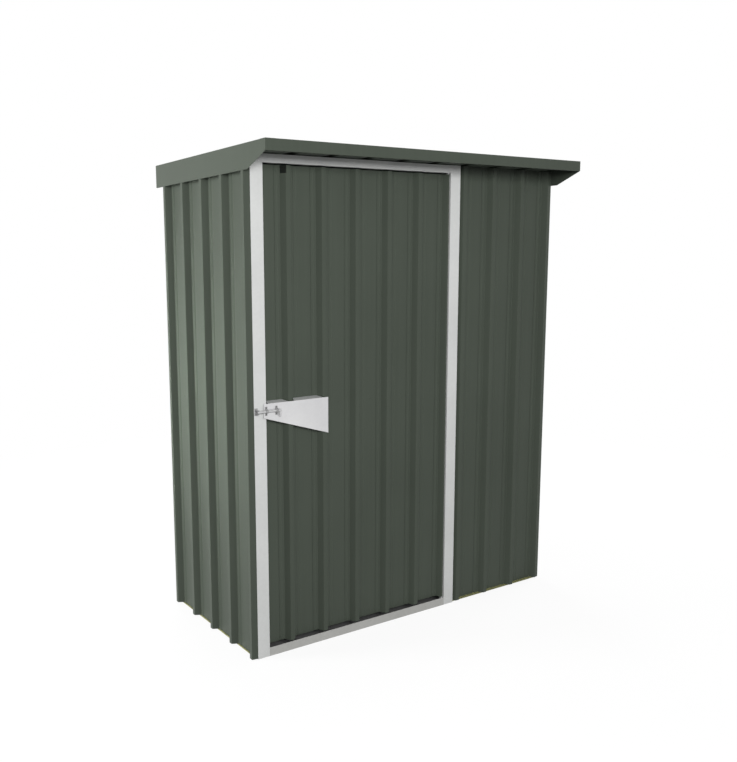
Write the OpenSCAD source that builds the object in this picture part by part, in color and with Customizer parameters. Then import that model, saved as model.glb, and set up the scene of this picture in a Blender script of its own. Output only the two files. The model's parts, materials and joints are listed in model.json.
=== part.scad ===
// Small skillion-roof garden tool shed in ribbed steel sheet, with one outward-opening door.

/* [Overall] */
// Width over the two barge cappings
shed_w = 1500; // [1300:10:2400]
// Depth from the front fascia to the rear ends of the barges
shed_d = 910; // [800:10:1500]
// Height from the ground to the top of the front fascia
shed_h = 1874; // [1600:2:2300]
// Fall of the roof towards the back, in degrees
roof_pitch = 2.1; // [1:0.1:6]
// Overhang of the roof in front of the door frame
front_over = 157; // [60:1:220]
// Overhang of the roof behind the rear rib crests
back_over = 59; // [20:1:140]

/* [Ribbed sheet] */
// Sheet thickness
sheet_t = 0.8; // [0.5:0.1:1.2]
// Rib depth from pan to crest
rib_h = 24; // [12:1:28]
// Width of a rib crest
rib_w = 18; // [12:1:26]
// Run of a rib's sloping web
rib_run = 13; // [6:1:16]
// Nominal rib pitch on the side walls
side_pitch = 167; // [130:1:200]
// Nominal rib pitch on the front panel, the back wall and the roof
main_pitch = 160; // [130:1:200]
// Nominal rib pitch on the door
door_pitch = 149; // [130:1:200]
// Half spacing of the two shallow swages in each pan
swage_x = 36; // [24:1:40]
// Depth of a swage
swage_h = 1.8; // [1:0.1:3]

/* [Cappings] */
// Thickness of the folded cappings
cap_t = 0.8; // [0.5:0.1:1.2]
// Height of the front fascia
fascia_h = 40; // [32:1:60]
// Depth of the barge capping
barge_h = 88; // [60:1:120]
// Width of the capping flanges that lie on the roof ribs
flange_w = 38; // [25:1:60]
// Length of the sloping cut at the front of each barge
barge_cut = 122; // [60:1:140]

/* [Door frame] */
// Face width of a jamb
jamb_w = 50; // [40:1:70]
// Depth of the jambs and the header
jamb_d = 30; // [25:1:34]
// Wall of the jamb and header tubes
jamb_t = 1.6; // [1.2:0.1:2.5]
// Clear width between the jambs
door_open_w = 851; // [700:1:1000]
// Height of the header's underside above the ground
head_z = 1810; // [1500:1:2000]
// Height of the sill's upstand
sill_h = 33; // [20:1:45]
// Thickness of the sill angle
sill_t = 2; // [1.6:0.1:3]
// Depth of the sill's ground leg
sill_d = 40; // [30:1:60]

/* [Frame] */
// Size of the square wall rails and corner posts
rail_s = 25; // [20:1:32]
// Wall of the square tubes
rail_t = 1.2; // [1:0.1:2]
// Height of the middle rails
mid_z = 900; // [700:10:1100]
// Thickness of the timber sole strips
sole_t = 3; // [3:0.5:6]
// Width of the timber sole strips inside the pans
sole_w = 40; // [32:1:60]
// Distance the soles stay inside the side and rear rib crests
sole_in = 20; // [4:1:22]
// Distance the front sole stays inside the panel's rib crests
sole_front_in = 9; // [2:1:16]
// How far the front panel's crests stand past the door frame
panel_proud = 1.5; // [0:0.5:3]

/* [Door] */
// Gap between the door leaf and the frame at the sides and ends
door_gap = 5; // [5:0.5:8]
// How far the door's rib crests sit behind the frame face
door_set = 2; // [1:0.5:4]
// Size of the door's square frame tubes
stile_s = 20; // [16:1:25]
// Height of the door's middle rail
door_mid_z = 925; // [700:5:1100]
// Radius of the hinge pivot rod
pivot_r = 2.5; // [2:0.1:3]
// Radial clearance of the pivot rod in its holes
pivot_gap = 0.08; // [0.05:0.01:0.1]

/* [Latch] */
// Height of the latch plate's top edge
latch_z = 966; // [800:1:1200]
// Length of the latch plate
latch_l = 275; // [200:1:300]
// Height of the latch plate at the jamb
latch_h0 = 52; // [46:1:70]
// Height of the latch plate at its wide end
latch_h1 = 137; // [100:1:160]
// Thickness of the latch plate
latch_t = 2; // [1.5:0.1:3]
// How far the latch plate's flanges rise towards the door
latch_rise = 5; // [0:0.5:8]
// How far the latch plate laps over the jamb
latch_lap = 14; // [8:1:20]
// Gap between the latch plate and the jamb's face
latch_gap = 5; // [5:0.5:7]
// Radius of the slide bolt
bolt_r = 5; // [4:0.5:6]
// Depth of the bolt's axis below the plate's top edge
bolt_drop = 27; // [22:1:30]
// Clearance of the bolt in its guides and keeper
bolt_gap = 0.6; // [0.4:0.1:1]
// Length of the bolt
bolt_l = 98; // [90:1:120]

/* [Hidden] */
$fn = 32;
olive = [0.29, 0.31, 0.28];
zinc = [0.85, 0.86, 0.85];
pine = [0.5, 0.5, 0.36];
steel = [0.66, 0.67, 0.68];

// A sheet's parallel inner corners move by this much beside a web
web_k = sheet_t * tan(atan(rib_h / rib_run) / 2);
// Steep web that closes a wall's corner
corner_run = 4;
corner_k = sheet_t * tan(atan(rib_h / corner_run) / 2);
corner_s = sheet_t / sin(atan(rib_h / corner_run));

// The swages stand behind the pans and bear on the rails
seat = sheet_t + swage_h;

// Wall planes: outer faces of the side pans, frame face, rear crests
cap_gap = 0.2;
xj = -shed_w/2 + cap_t + cap_gap + rib_h;
xr = -xj;
yf = -shed_d/2 + front_over;
wall_d = shed_d - front_over - back_over;
yb = yf + wall_d;
front_pan = yf - panel_proud + rib_h;
back_pan = yb - rib_h;
door_pan = yf + door_set + rib_h;
xd0 = xj + jamb_w;
xd1 = xd0 + door_open_w;
xp = xd1 + jamb_w;

// Roof plane: underside of the pans, on the front fascia's face
roof_cos = cos(roof_pitch);
roof_z0 = shed_h - (rib_h + seat + cap_t) * roof_cos - 0.05;
roof_len = shed_d / roof_cos;
function roof_z(y) = roof_z0 - (y + shed_d/2) * tan(roof_pitch);
function roof_s(y) = (y + shed_d/2) / roof_cos;
function lift(y) = shed_h - (roof_z0 - roof_z(y));

// Door leaf
leaf_x0 = xd0 + door_gap;
leaf_x1 = xd1 - door_gap;
leaf_z0 = sill_h + door_gap;
leaf_z1 = head_z - door_gap;
leaf_y = door_pan + seat;
pivot_x = leaf_x1 - 1.5 - pivot_r;
pivot_y = yf + door_set + sheet_t + 0.2 + pivot_r;

// Door ribs: the first one's place, how many pitches follow it, and the exact pitch
rib_first = 98;
door_span = leaf_x1 - leaf_x0 - rib_first + 3;
door_n = max(2, round(door_span / door_pitch));
door_p = door_span / door_n;

// Latch
latch_x = xd0 - latch_lap;
latch_y = yf - latch_gap;
bolt_z = latch_z - bolt_drop;
bolt_y = latch_y - latch_t - bolt_r - 1;
bolt_x = xj + 7;

// Outline of a corrugated sheet: pans at y = 0, crests at y = rib_h
function rib_out(c) = [[c-rib_w/2-rib_run, 0], [c-rib_w/2, rib_h], [c+rib_w/2, rib_h],
  [c+rib_w/2+rib_run, 0]];
function rib_in(c) = [[c-rib_w/2-rib_run+web_k, -sheet_t], [c-rib_w/2+web_k, rib_h-sheet_t],
  [c+rib_w/2-web_k, rib_h-sheet_t], [c+rib_w/2+rib_run-web_k, -sheet_t]];
function swage(c, o) = [[c-8, -o], [c-4, -o-swage_h], [c+4, -o-swage_h], [c+8, -o]];
function pan(c, o) = concat(swage(c - swage_x, o), swage(c + swage_x, o));
function half_out(c, s) = [for (p = rib_out(c)) if ((p[0] - c) * s > 0) p];
function half_in(c, s) = [for (p = rib_in(c)) if ((p[0] - c) * s > 0) p];
function flat(l) = [for (a = l) for (b = a) b];
function back_to_front(l) = [for (i = [len(l)-1:-1:0]) l[i]];

// Ribs at c0, c0 + p, ... with one spare at each end; cut to length by the caller
module ribbed(c0, p, n, z) {
  out = flat([for (i = [-1:n]) concat(rib_out(c0 + i*p), i < n ? pan(c0 + (i+0.5)*p, 0) : [])]);
  inn = flat([for (i = [-1:n]) concat(rib_in(c0 + i*p), i < n ? pan(c0 + (i+0.5)*p, sheet_t) : [])]);
  linear_extrude(z) polygon(concat(out, back_to_front(inn)));
}

// Side wall from its front corner at x = 0 to its rear corner at x = l, ribs outward
module side_profile(l, z) {
  n = max(2, round((l - 2*corner_run - rib_w) / side_pitch));
  c0 = corner_run + rib_w/2;
  p = (l - 2*c0) / n;
  out = concat([[0, 0], [corner_run, rib_h]], half_out(c0, 1),
    flat([for (i = [1:n-1]) concat(pan(c0 + (i-0.5)*p, 0), rib_out(c0 + i*p))]),
    pan(c0 + (n-0.5)*p, 0), half_out(c0 + n*p, -1), [[l - corner_run, rib_h], [l, 0]]);
  inn = concat([[corner_s, 0], [corner_run + corner_k, rib_h - sheet_t]], half_in(c0, 1),
    flat([for (i = [1:n-1]) concat(pan(c0 + (i-0.5)*p, sheet_t), rib_in(c0 + i*p))]),
    pan(c0 + (n-0.5)*p, sheet_t), half_in(c0 + n*p, -1),
    [[l - corner_run - corner_k, rib_h - sheet_t], [l - corner_s, 0]]);
  linear_extrude(z) polygon(concat(out, back_to_front(inn)));
}

module on_slope() translate([0, -shed_d/2, roof_z0]) rotate([-roof_pitch, 0, 0]) children();

module box(x0, x1, y0, y1, z0, z1) translate([x0, y0, z0]) cube([x1-x0, y1-y0, z1-z0]);

// Cuts its children off at the underside of the roof
module below_roof() intersection() {
  children();
  on_slope() translate([-shed_w, -shed_d/2, -2*shed_h]) cube([2*shed_w, 2*shed_d, 2*shed_h]);
}

// Square tubes along X, Y and Z
module tube_x(x0, x1, y, z, s, t) difference() {
  box(x0, x1, y, y+s, z, z+s);
  box(x0-1, x1+1, y+t, y+s-t, z+t, z+s-t);
}
module tube_y(x, y0, y1, z, s, t) difference() {
  box(x, x+s, y0, y1, z, z+s);
  box(x+t, x+s-t, y0-1, y1+1, z+t, z+s-t);
}
module tube_z(x, y, z0, z1, w, d, t) difference() {
  box(x, x+w, y, y+d, z0, z1);
  box(x+t, x+w-t, y+t, y+d-t, z0-1, z1+1);
}

side_in = xj + seat;
back_in = back_pan - seat;
front_in = front_pan + seat;
post_y = back_in - rail_s;
gap = 0.5;

module sole_strips() color(pine) {
  box(xj - rib_h + sole_in, xj + sole_w, yf + jamb_d, yb - sole_in, 0, sole_t);
  box(xr - sole_w, xr + rib_h - sole_in, yf - panel_proud + sole_front_in, yb - sole_in, 0, sole_t);
  box(xj + sole_w + gap, xr - sole_w - gap, back_pan - sole_w, yb - sole_in, 0, sole_t);
  box(xp, xr - sole_w - gap, yf - panel_proud + sole_front_in, front_pan + sole_w, 0, sole_t);
}
module bottom_rails() color(steel) {
  tube_y(side_in, yf + jamb_d, post_y, sole_t, rail_s, rail_t);
  tube_y(-side_in - rail_s, front_in + rail_s, post_y, sole_t, rail_s, rail_t);
  tube_x(side_in + rail_s, -side_in - rail_s, post_y, sole_t, rail_s, rail_t);
  tube_x(xp, -side_in - rail_s, front_in, sole_t, rail_s, rail_t);
}
module middle_rails() color(steel) {
  tube_y(side_in, yf + jamb_d, post_y, mid_z, rail_s, rail_t);
  tube_y(-side_in - rail_s, front_in + rail_s, post_y, mid_z, rail_s, rail_t);
  tube_x(side_in + rail_s, -side_in - rail_s, post_y, mid_z, rail_s, rail_t);
  tube_x(xp, -side_in - rail_s, front_in, mid_z, rail_s, rail_t);
}
// The side rails follow the roof; the cross rails touch it at their rear top edge
module slope_rail(x, y0, y1) intersection() {
  on_slope() tube_y(x, roof_s(y0) - 5, roof_s(y1) + 5, -rail_s, rail_s, rail_t);
  box(x - 1, x + rail_s + 1, y0, y1, 0, shed_h);
}
module top_rails() color(steel) {
  slope_rail(side_in, yf + jamb_d, post_y);
  slope_rail(-side_in - rail_s, front_in + rail_s, post_y);
  tube_x(side_in + rail_s, -side_in - rail_s, post_y, roof_z(back_in) - rail_s, rail_s, rail_t);
  tube_x(xp, -side_in - rail_s, front_in, roof_z(front_in + rail_s) - rail_s, rail_s, rail_t);
}
module corner_posts() color(steel) below_roof() {
  tube_z(side_in, post_y, sole_t, shed_h, rail_s, rail_s, rail_t);
  tube_z(-side_in - rail_s, post_y, sole_t, shed_h, rail_s, rail_s, rail_t);
  tube_z(-side_in - rail_s, front_in, sole_t, shed_h, rail_s, rail_s, rail_t);
}
module roof_purlin() color(steel) on_slope()
  tube_x(side_in + rail_s, -side_in - rail_s, roof_s((yf + yb)/2), -rail_s, rail_s, rail_t);

module left_jamb() color(zinc) below_roof() tube_z(xj, yf, 0, shed_h, jamb_w, jamb_d, jamb_t);
module right_jamb() color(zinc) below_roof() tube_z(xd1, yf, 0, shed_h, jamb_w, jamb_d, jamb_t);
module header() color(zinc) difference() {
  box(xd0, xd1, yf, yf + jamb_d, head_z, roof_z(yf + jamb_d));
  box(xd0 - 1, xd1 + 1, yf + jamb_t, yf + jamb_d - jamb_t, head_z + jamb_t,
    roof_z(yf + jamb_d) - jamb_t);
  translate([pivot_x, pivot_y, head_z - 1]) cylinder(r = pivot_r + pivot_gap, h = jamb_t + 2);
}
module sill() color(zinc) difference() {
  union() {
    box(xd0, xd1, yf, yf + sill_t, 0, sill_h);
    box(xd0, xd1, yf, yf + sill_d, 0, sill_t);
  }
  translate([pivot_x, pivot_y, -1]) cylinder(r = pivot_r + pivot_gap, h = sill_t + 2);
}

module left_wall() color(olive) below_roof() translate([xj, yf, sole_t]) mirror([1, 0, 0])
  rotate([0, 0, 90]) mirror([0, 1, 0]) side_profile(wall_d, shed_h);
module right_wall() color(olive) mirror([1, 0, 0]) left_wall();
module back_wall() color(olive) below_roof() intersection() {
  w = xr - xj;
  n = max(2, round(w / main_pitch));
  p = (w + rib_w - corner_run * 2) / n;
  translate([xj, back_pan, sole_t]) ribbed(corner_run - rib_w/2 - p, p, n + 2, shed_h);
  box(xj, xr, back_pan - 10, yb + 1, sole_t, shed_h + 1);
}
module front_panel() color(olive) below_roof() intersection() {
  w = xr - xp;
  n = max(1, round((w - 18) / main_pitch));
  p = (w - 18) / n;
  translate([xp, front_pan, sole_t]) mirror([0, 1, 0]) ribbed(26.5, p, n + 1, shed_h);
  box(xp, xr, yf - panel_proud - 1, front_pan + 10, sole_t, shed_h + 1);
}

module roof_sheet() color(olive) on_slope() {
  w = shed_w - 2*cap_t - 2*cap_gap;
  e = rib_w/2 + rib_run + 1;
  n = max(2, round((w - 2*e) / main_pitch));
  p = (w - 2*e) / n;
  translate([-w/2, roof_len - 4, seat]) rotate([90, 0, 0]) intersection() {
    ribbed(e, p, n + 1, roof_len - 4 - cap_t - 1);
    translate([0, -10, -1]) cube([w, rib_h + 20, roof_len]);
  }
}
module front_fascia() color(olive) {
  box(-shed_w/2, shed_w/2, -shed_d/2, -shed_d/2 + cap_t, shed_h - fascia_h, shed_h);
  box(-shed_w/2 + cap_t, shed_w/2 - cap_t, -shed_d/2 + cap_t/2, -shed_d/2 + 10,
    shed_h - fascia_h, shed_h - fascia_h + cap_t);
  on_slope() box(-shed_w/2 + cap_t, shed_w/2 - cap_t, -0.5, flange_w,
    rib_h + seat, rib_h + seat + cap_t);
}
module left_barge() color(olive) union() {
  y0 = -shed_d/2 + cap_t;
  y1 = shed_d/2;
  low0 = shed_h - fascia_h;
  yc = -shed_d/2 + barge_cut;
  translate([-shed_w/2, 0, 0]) rotate([90, 0, 90]) linear_extrude(cap_t)
    polygon([[y0, low0], [y0, lift(y0)], [y1, lift(y1)], [y1, lift(y1) - barge_h],
      [yc + 8, lift(yc + 8) - barge_h], [yc, lift(yc) - barge_h + 2]]);
  on_slope() box(-shed_w/2 + cap_t/2, -shed_w/2 + flange_w, flange_w + gap, roof_len - 1,
    rib_h + seat, rib_h + seat + cap_t);
}
module right_barge() color(olive) mirror([1, 0, 0]) left_barge();

// Cheeks above and below the bolt, open at the front
module bolt_keeper() color(zinc) {
  c = bolt_r + bolt_gap;
  k = yf - bolt_y + bolt_r + 1;
  box(xj + 2, xj + 14, yf - 2, yf, bolt_z - c - 8, bolt_z + c + 8);
  for (s = [-1, 1]) translate([xj + 4, yf - k, bolt_z + s * (c + 1.25) - 1.25]) cube([8, k, 2.5]);
}

module door_sheet() color(olive) intersection() {
  translate([leaf_x0, door_pan, leaf_z0]) mirror([0, 1, 0])
    ribbed(rib_first, door_p, door_n + 1, leaf_z1 - leaf_z0);
  box(leaf_x0, leaf_x1, yf, door_pan + 10, leaf_z0 - 1, leaf_z1 + 1);
}
module hinge_stile() color(steel)
  tube_z(leaf_x1 - 1 - stile_s, leaf_y, leaf_z0 + 2, leaf_z1 - 2, stile_s, stile_s, rail_t);
module latch_stile() color(steel)
  tube_z(leaf_x0 + 1, leaf_y, leaf_z0 + 2, leaf_z1 - 2, stile_s, stile_s, rail_t);
module door_rail(z) color(steel)
  tube_x(leaf_x0 + 1 + stile_s, leaf_x1 - 1 - stile_s, leaf_y, z, stile_s, rail_t);
module door_top_rail() door_rail(leaf_z1 - 12 - stile_s);
module door_middle_rail() door_rail(door_mid_z);
module door_bottom_rail() door_rail(leaf_z0 + 12);
// Rod inside the door's hinge edge; its ends turn in the sill and the header
module pivot_rod() color(steel) translate([pivot_x, pivot_y, 0.5])
  cylinder(r = pivot_r, h = head_z + jamb_t + 4);
module pivot_straps() color(steel)
  for (z = [leaf_z0 + 20, (leaf_z0 + leaf_z1)/2, leaf_z1 - 40]) difference() {
    box(pivot_x - pivot_r - 0.2, leaf_x1 - 1, pivot_y, leaf_y, z, z + 20);
    translate([pivot_x, pivot_y, z - 1]) cylinder(r = pivot_r, h = 22);
  }

// Tapered plate carried in front of the ribs by two flanges that fold back to the pans
module latch_plate() color(zinc) union() {
  // Feet of the ribs on either side: the flanges end beside the webs
  r0 = leaf_x0 + rib_first - rib_w/2 - rib_run;
  rc = r0 + rib_run + rib_w;
  r1 = r0 + door_p;
  end = latch_x + latch_l - 22;
  translate([0, latch_y, 0]) rotate([90, 0, 0]) linear_extrude(latch_t)
    polygon([[latch_x, latch_z - latch_h0], [latch_x, latch_z], [latch_x + latch_l, latch_z],
      [latch_x + latch_l, latch_z - latch_h1]]);
  intersection() {
    translate([0, 0, latch_z - latch_h0]) linear_extrude(latch_h0 + latch_rise + 1) union() {
      polygon([[leaf_x0 + 2, latch_y - 1], [r0 + 8, latch_y - 1], [r0 + 6, yf + door_set],
        [r0 - 2, door_pan], [leaf_x0 + 2, door_pan]]);
      polygon([[rc + 1, latch_y - 1], [min(end, r1 + rib_run - 4), latch_y - 1],
        [min(end, r1 + rib_run - 4), yf + door_set], [min(end, r1 - 2), door_pan],
        [rc + rib_run + 2, door_pan], [rc + 3, yf + door_set]]);
    }
    translate([-shed_w/2, 0, latch_z]) rotate([90, 0, 90]) linear_extrude(shed_w)
      polygon([[latch_y - latch_t, 0], [door_pan, latch_rise], [door_pan, latch_rise - latch_t],
        [latch_y - latch_t, -latch_t]]);
  }
}
module bolt_guides() color(zinc) for (x = [latch_x + 5, latch_x + 47]) difference() {
  union() {
    box(x, x + 9, latch_y - latch_t - 2, latch_y - latch_t, bolt_z - 17, bolt_z + 17);
    translate([x, bolt_y, bolt_z]) rotate([0, 90, 0]) cylinder(r = bolt_r + bolt_gap + 2, h = 9);
  }
  translate([x - 1, bolt_y, bolt_z]) rotate([0, 90, 0]) cylinder(r = bolt_r + bolt_gap, h = 11);
  box(x - 1, x + 10, latch_y - latch_t, latch_y + 20, bolt_z - 20, bolt_z + 20);
}
module slide_bolt() color(steel) union() {
  translate([bolt_x, bolt_y, bolt_z]) rotate([0, 90, 0]) cylinder(r = bolt_r, h = bolt_l);
  translate([bolt_x + bolt_l - bolt_r, bolt_y, bolt_z - 24]) cylinder(r = bolt_r - 1, h = 24);
}

sole_strips();
bottom_rails();
middle_rails();
top_rails();
corner_posts();
roof_purlin();
left_jamb();
right_jamb();
header();
sill();
left_wall();
right_wall();
back_wall();
front_panel();
roof_sheet();
front_fascia();
left_barge();
right_barge();
bolt_keeper();
door_sheet();
hinge_stile();
latch_stile();
door_top_rail();
door_middle_rail();
door_bottom_rail();
pivot_rod();
pivot_straps();
latch_plate();
bolt_guides();
slide_bolt();
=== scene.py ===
import json
import math

import bmesh
import bpy
from mathutils import Matrix, Vector

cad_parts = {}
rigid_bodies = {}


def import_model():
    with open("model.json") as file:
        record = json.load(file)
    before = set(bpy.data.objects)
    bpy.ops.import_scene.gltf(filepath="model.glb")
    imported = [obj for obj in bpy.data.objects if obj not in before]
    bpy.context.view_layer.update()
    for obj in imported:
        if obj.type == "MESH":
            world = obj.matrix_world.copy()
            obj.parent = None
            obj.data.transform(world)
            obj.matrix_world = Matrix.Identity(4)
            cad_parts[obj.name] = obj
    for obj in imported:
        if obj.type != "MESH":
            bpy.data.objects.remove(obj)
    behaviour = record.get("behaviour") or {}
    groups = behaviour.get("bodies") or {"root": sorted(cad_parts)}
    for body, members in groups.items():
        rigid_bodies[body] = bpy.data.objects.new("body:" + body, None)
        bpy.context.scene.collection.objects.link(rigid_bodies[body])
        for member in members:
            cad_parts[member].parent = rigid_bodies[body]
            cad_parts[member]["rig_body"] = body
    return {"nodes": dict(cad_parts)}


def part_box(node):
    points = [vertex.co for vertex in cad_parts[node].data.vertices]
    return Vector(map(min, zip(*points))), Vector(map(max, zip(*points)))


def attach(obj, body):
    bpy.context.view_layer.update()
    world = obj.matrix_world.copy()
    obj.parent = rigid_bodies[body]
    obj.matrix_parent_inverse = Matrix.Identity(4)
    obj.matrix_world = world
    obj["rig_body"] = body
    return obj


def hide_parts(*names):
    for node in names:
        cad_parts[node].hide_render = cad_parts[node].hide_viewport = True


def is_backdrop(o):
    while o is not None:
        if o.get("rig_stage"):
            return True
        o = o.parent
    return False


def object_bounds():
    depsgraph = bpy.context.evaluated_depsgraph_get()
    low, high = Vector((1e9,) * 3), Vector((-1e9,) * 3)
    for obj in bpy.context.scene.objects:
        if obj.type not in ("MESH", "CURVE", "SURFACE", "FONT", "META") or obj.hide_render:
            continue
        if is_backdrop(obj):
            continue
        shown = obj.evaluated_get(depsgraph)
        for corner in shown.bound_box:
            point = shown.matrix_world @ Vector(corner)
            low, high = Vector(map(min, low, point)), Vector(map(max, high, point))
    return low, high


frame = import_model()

cad_low, cad_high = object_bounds()
MM = 0.001
SAME_PLACE = 1e-6  # Points nearer to each other than this are merged.

# ---------------------------------------------------------------------------------------------
# Studio: a plain pale floor under a white surround, five soft lamps and the camera.
# The floor shows white to the camera but sends little light back up, so the foot of the
# shed falls off gently and a faint shadow stays round it.
scene = bpy.context.scene
scene.view_settings.view_transform = "Standard"


def wiring(tree):
    """Short ways to add a node and to do sums in one node tree."""

    def add(kind, inputs=(), **settings):
        new = tree.nodes.new(kind)
        for key, value in settings.items():
            setattr(new, key, value)
        for key, value in dict(inputs).items():
            if isinstance(value, bpy.types.NodeSocket):
                tree.links.new(value, new.inputs[key])
            else:
                new.inputs[key].default_value = value
        return new

    def calc(operation, a, b=0.0):
        return add("ShaderNodeMath", {0: a, 1: b}, operation=operation).outputs[0]

    return add, calc


def seen_directly(add, calc):
    """1 for rays from the camera, a mirror or a window, 0 for the light that falls on things."""
    path = add("ShaderNodeLightPath").outputs
    either = calc("MAXIMUM", path["Is Camera Ray"], path["Is Glossy Ray"])
    return calc("MAXIMUM", either, path["Is Transmission Ray"])


lens_mm, shift = 42.9094, (0.000424, 0.012784)
camera_data = bpy.data.cameras.new("camera")
camera_data.sensor_width = 36
camera_data.lens = lens_mm
camera_data.shift_x, camera_data.shift_y = shift
camera = bpy.data.objects.new("camera", camera_data)
camera.location = (-2.23749947, -3.12601579, 1.54683852)
camera.rotation_euler = [math.radians(a) for a in (80.5718681, -0.1686963, -35.4021702)]
scene.collection.objects.link(camera)
scene.camera = camera

world = bpy.data.worlds.new("white surround")
world.use_nodes = True
world.node_tree.nodes.clear()
add, calc = wiring(world.node_tree)
surround_light = 0.30
shown = add("ShaderNodeBackground", {"Color": (1, 1, 1, 1), "Strength": 1.0})
given = add("ShaderNodeBackground", {"Color": (1, 1, 1, 1), "Strength": surround_light})
mixed = add("ShaderNodeMixShader", {0: seen_directly(add, calc), 1: given.outputs[0],
                                    2: shown.outputs[0]})
add("ShaderNodeOutputWorld", {"Surface": mixed.outputs[0]})
scene.world = world

floor_radius, floor_drop, rim_points = 5.0, 0.5 * MM, 96
floor_bounce, floor_glow = 0.14, 0.9
glow_starts, glow_is_full = 1.2, 3.6


def floor_look(name, glow_share, seen_tone):
    """Matt floor that sends little light back up; the glow makes it white to the camera."""
    look = bpy.data.materials.new(name)
    look.use_nodes = True
    look.node_tree.nodes.clear()
    add, calc = wiring(look.node_tree)
    direct = seen_directly(add, calc)
    tone = calc("ADD", floor_bounce, calc("MULTIPLY", direct, seen_tone - floor_bounce))
    grey = add("ShaderNodeCombineColor", {0: tone, 1: tone, 2: tone})
    matt = add("ShaderNodeBsdfDiffuse", {"Color": grey.outputs[0]})
    glow = add("ShaderNodeEmission", {"Color": (1, 1, 1, 1), "Strength": 1.0})
    spot = add("ShaderNodeTexCoord").outputs["Object"]
    reach = add("ShaderNodeVectorMath", {0: spot}, operation="LENGTH")
    rim_share = 1.0 if glow_share else 0.0
    share = add("ShaderNodeMapRange", {0: reach.outputs["Value"], 1: glow_starts, 2: glow_is_full,
                                       3: glow_share, 4: rim_share})
    glowing = calc("MULTIPLY", direct, share.outputs[0])
    mixed = add("ShaderNodeMixShader", {0: glowing, 1: matt.outputs[0], 2: glow.outputs[0]})
    add("ShaderNodeOutputMaterial", {"Surface": mixed.outputs[0]})
    return look


# The patch inside the walls is one face; four more reach from its corners to the round rim.
inside_half, inside_front, inside_back = 0.70, -0.29, 0.37
inside = [(-inside_half, inside_front), (inside_half, inside_front),
          (inside_half, inside_back), (-inside_half, inside_back)]
rim = []
for i in range(rim_points):
    angle = 2 * math.pi * i / rim_points
    rim.append((floor_radius * math.cos(angle), floor_radius * math.sin(angle)))
faces = [(0, 1, 2, 3)]
quarter, first_point = rim_points // 4, rim_points * 5 // 8
for side in range(4):
    arc = [first_point + side * quarter + i for i in range(quarter + 1)]
    faces.append([(side + 1) % 4, side] + [len(inside) + k % rim_points for k in arc])
floor_mesh = bpy.data.meshes.new("floor")
floor_mesh.from_pydata([(x, y, -floor_drop) for x, y in inside + rim], [], faces)
floor_mesh.materials.append(floor_look("pale floor", floor_glow, 0.95))
# Inside the walls the floor shows dark grey to the camera, not white: painted shade for the dark
# inside of the shed.
floor_mesh.materials.append(floor_look("floor inside with painted shade", 0.0, 0.16))
floor_mesh.polygons[0].material_index = 1
floor = bpy.data.objects.new("floor", floor_mesh)
scene.collection.objects.link(floor)
floor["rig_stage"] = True

# The gridded lamp throws a narrow soft beam on the middle of the left wall.
shed_middle, left_wall_middle = Vector((0, 0, 1.2)), Vector((-0.74, 0.22, 1.0))
for lamp_name, place, wide, tall, watts, target, spread in (
    ("key lamp", (-2.0, -4.7, 2.5), 3.2, 1.2, 192.0, shed_middle, 180),
    ("side lamp", (-4.5, 1.75, 1.7), 1.4, 2.6, 232.0, shed_middle, 180),
    ("gridded side lamp", (-4.0, 1.9, 1.0), 0.5, 0.3, 3.0, left_wall_middle, 24),
    ("right lamp", (5.0, 0.6, 2.4), 3.0, 2.4, 170.0, shed_middle, 180),
    ("rear lamp", (1.2, 5.2, 2.8), 3.0, 2.4, 190.0, shed_middle, 180),
):
    lamp_data = bpy.data.lights.new(lamp_name, "AREA")
    lamp_data.shape = "RECTANGLE"
    lamp_data.size, lamp_data.size_y = wide, tall
    lamp_data.energy = watts
    lamp_data.spread = math.radians(spread)
    lamp = bpy.data.objects.new(lamp_name, lamp_data)
    lamp.location = place
    lamp.visible_glossy = False
    lamp.rotation_euler = (target - Vector(place)).to_track_quat("-Z", "Y").to_euler()
    scene.collection.objects.link(lamp)

# ---------------------------------------------------------------------------------------------
# Wall sheets: roll-formed steel with narrow trapezoid ribs and two shallow swages in each pan,
# baked with a satin grey-green paint. Each side wall folds round the front and rear corners.
# They are pop-riveted in the pans to the bottom, middle and top rails.
sheet_t, rib_depth, crest, web_run = 0.7 * MM, 24 * MM, 18 * MM, 13 * MM
swage_half_spacing, swage_depth, sheet_bend = 36 * MM, 1.8 * MM, 2.4 * MM
side_pitch, main_pitch = 167 * MM, 160 * MM
pitch_angle = math.radians(2.1)
roof_eave = 1846.568 * MM
front_edge = cad_low.y


def roof_under(y):
    """Height of the underside of the roof sheet."""
    return roof_eave - (y - front_edge) * math.tan(pitch_angle)


def sockets(tree, **kinds):
    """Gives a geometry tree its mesh in and out and its named inputs."""
    face = tree.interface
    face.new_socket("Geometry", in_out="OUTPUT", socket_type="NodeSocketGeometry")
    face.new_socket("Geometry", in_out="INPUT", socket_type="NodeSocketGeometry")
    for name, kind in kinds.items():
        face.new_socket(name.replace("_", " "), in_out="INPUT", socket_type="NodeSocket" + kind)


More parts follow.
